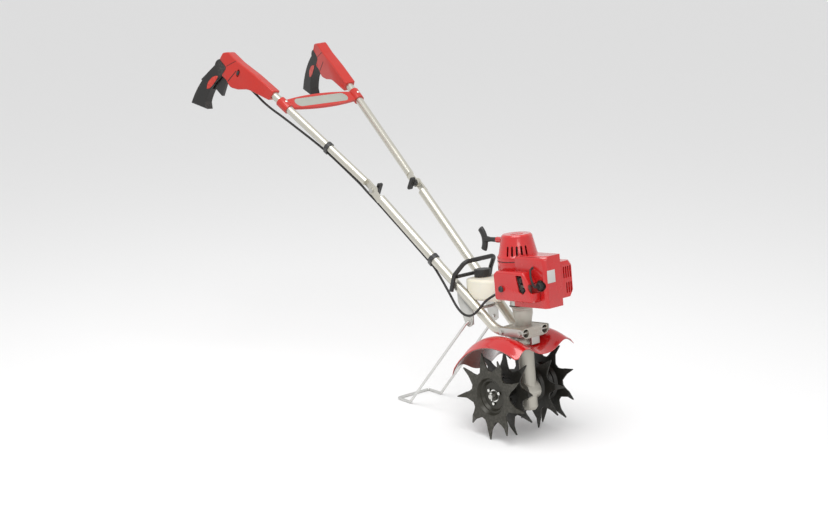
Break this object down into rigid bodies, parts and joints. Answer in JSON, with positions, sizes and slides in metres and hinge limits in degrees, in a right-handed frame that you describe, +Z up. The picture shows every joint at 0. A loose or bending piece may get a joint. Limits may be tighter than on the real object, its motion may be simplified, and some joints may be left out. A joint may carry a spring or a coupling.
{
  "type": "garden tiller",
  "caption": "Small petrol garden tiller with pointed rotary tines, a saddle fender, folding twin handles with pistol grips and a wire kickstand.",
  "frame": {"origin": "centre of the bounding box at the ground, as the machine stands on its tines and kickstand", "axes": "+X forwards, +Y to the machine's left, +Z up"},
  "size_m": [1.2664, 0.4464, 0.9185],
  "materials": {
    "cast_alloy": "sand-cast aluminium, bead blasted",
    "steel": "zinc-plated steel",
    "bronze": "bearing bronze",
    "tube_metal": "satin drawn tube",
    "tine_black": "black baked enamel on spring steel",
    "red_cover": "glossy red moulding",
    "muffler_steel": "heat-darkened steel",
    "fender_red": "glossy red enamel on pressed steel",
    "grip_red": "orange-red satin moulding",
    "black_plastic": "fine textured black",
    "black_rubber": "soft black overmould",
    "tank_plastic": "translucent cream polyethylene",
    "plate_grey": "grey inlay",
    "rope": "braided starter rope"
  },
  "bodies": {
    "machine": {"gear_housing": "cast_alloy", "case_cover": "cast_alloy", "clutch_bowl": "cast_alloy", "crankcase": "cast_alloy", "cylinder": "cast_alloy", "handle_clamp": "cast_alloy", "carburettor": "cast_alloy", "fasteners": "steel", "fender_bracket": "steel", "kickstand_bracket": "steel", "spark_plug": "steel", "bearings": "bronze", "lower_tube_right": "tube_metal", "lower_tube_left": "tube_metal", "fan_housing": "red_cover", "engine_cover": "red_cover", "recoil_cover": "red_cover", "muffler_guard": "red_cover", "air_cleaner_cover": "red_cover", "muffler": "muffler_steel", "fender": "fender_red", "carry_handle": "black_plastic", "cable_clip_lower": "black_plastic", "plug_boot": "black_rubber", "ignition_lead": "black_rubber", "throttle_cable_lower": "black_rubber", "fuel_tank": "tank_plastic"},
    "tine_set": {"tine_shaft": "steel", "worm_wheel": "bronze", "outer_tine_right": "tine_black", "outer_tine_left": "tine_black", "inner_tine_right": "tine_black", "inner_tine_left": "tine_black", "tine_pins": "steel"},
    "worm_drive": {"worm_shaft": "steel", "clutch_drum": "steel"},
    "crank_set": {"crankshaft": "steel", "flywheel": "steel"},
    "upper_handles": {"upper_tube_right": "tube_metal", "upper_tube_left": "tube_metal", "brace": "grip_red", "brace_plate": "plate_grey", "grip_shell_right": "grip_red", "grip_shell_left": "grip_red", "grip_pad_right": "black_rubber", "grip_pad_left": "black_rubber", "throttle_cable_upper": "black_rubber", "cable_clip_upper": "black_plastic"},
    "stand": {"kickstand": "tube_metal"},
    "trigger": {"throttle_trigger": "black_plastic"},
    "lockout": {"lockout_lever": "black_plastic"},
    "switch": {"stop_switch": "black_plastic"},
    "starter": {"starter_handle": "black_plastic", "starter_rope": "rope"},
    "rope_drum": {"starter_pulley": "steel"},
    "cap": {"fuel_cap": "black_plastic"},
    "knob_right": {"fold_knob_right": "black_plastic"},
    "knob_left": {"fold_knob_left": "black_plastic"},
    "choke": {"choke_lever": "black_plastic"},
    "primer": {"primer_bulb": "black_rubber"}
  },
  "joints": [
    {"name": "tine_turn", "type": "hinge", "parent": "machine", "child": "tine_set", "pos_m": [0.489, 0, 0.115], "axis": [0, 1, 0], "continuous": true},
    {"name": "worm_turn", "type": "hinge", "parent": "machine", "child": "worm_drive", "pos_m": [0.52965, 0, 0.12035], "axis": [-0.1305, 0, 0.9914], "continuous": true},
    {"name": "crank_turn", "type": "hinge", "parent": "machine", "child": "crank_set", "pos_m": [0.52965, 0, 0.12035], "axis": [-0.1305, 0, 0.9914], "continuous": true},
    {"name": "handle_fold", "type": "hinge", "parent": "machine", "child": "upper_handles", "pos_m": [0.00989, 0, 0.58246], "axis": [0, 1, 0], "range_deg": [0, 130]},
    {"name": "stand_fold", "type": "hinge", "parent": "machine", "child": "stand", "pos_m": [0.35373, 0, 0.27673], "axis": [0, 1, 0], "range_deg": [0, 80]},
    {"name": "trigger_pull", "type": "hinge", "parent": "upper_handles", "child": "trigger", "pos_m": [-0.51115, -0.17401, 0.84552], "axis": [-0.2283, 0.9693, -0.0911], "range_deg": [0, 10], "stiffness_Nm_per_rad": 0.5, "springref_deg": -5.73},
    {"name": "lockout_squeeze", "type": "hinge", "parent": "upper_handles", "child": "lockout", "pos_m": [-0.54893, -0.18015, 0.87484], "axis": [-0.2283, 0.9693, -0.0911], "range_deg": [-5, 0], "stiffness_Nm_per_rad": 0.5, "springref_deg": 5.73},
    {"name": "switch_slide", "type": "slide", "parent": "upper_handles", "child": "switch", "axis": [0.2691, 0.1528, 0.9509], "range_m": [-0.004, 0.004]},
    {"name": "starter_pull", "type": "slide", "parent": "machine", "child": "starter", "axis": [-0.9914, 0, -0.1305], "range_m": [0, 0.6], "stiffness_N_per_m": 12, "springref_m": -0.4},
    {"name": "drum_turn", "type": "hinge", "parent": "machine", "child": "rope_drum", "pos_m": [0.52965, 0, 0.12035], "axis": [-0.1305, 0, 0.9914], "range_deg": [0, 1050]},
    {"name": "cap_turn", "type": "hinge", "parent": "machine", "child": "cap", "pos_m": [0.35466, 0, 0.3999], "axis": [-0.1305, 0, 0.9914], "range_deg": [0, 360]},
    {"name": "knob_turn_right", "type": "hinge", "parent": "machine", "child": "knob_right", "pos_m": [0.00989, -0.08, 0.58246], "axis": [0, 1, 0], "range_deg": [0, 360]},
    {"name": "knob_turn_left", "type": "hinge", "parent": "machine", "child": "knob_left", "pos_m": [0.00989, 0.08, 0.58246], "axis": [0, 1, 0], "range_deg": [0, 360]},
    {"name": "choke_turn", "type": "hinge", "parent": "machine", "child": "choke", "pos_m": [0.5601, -0.064, 0.433], "axis": [0, -1, 0], "range_deg": [0, 40]},
    {"name": "primer_push", "type": "slide", "parent": "machine", "child": "primer", "axis": [0, 1, 0], "range_m": [0, 0.004], "stiffness_N_per_m": 300}
  ],
  "couplings": [
    {"joint": "worm_turn", "follows": "tine_turn", "ratio": 30},
    {"joint": "drum_turn", "follows": "starter_pull", "rad_per_m": 30.3}
  ]
}
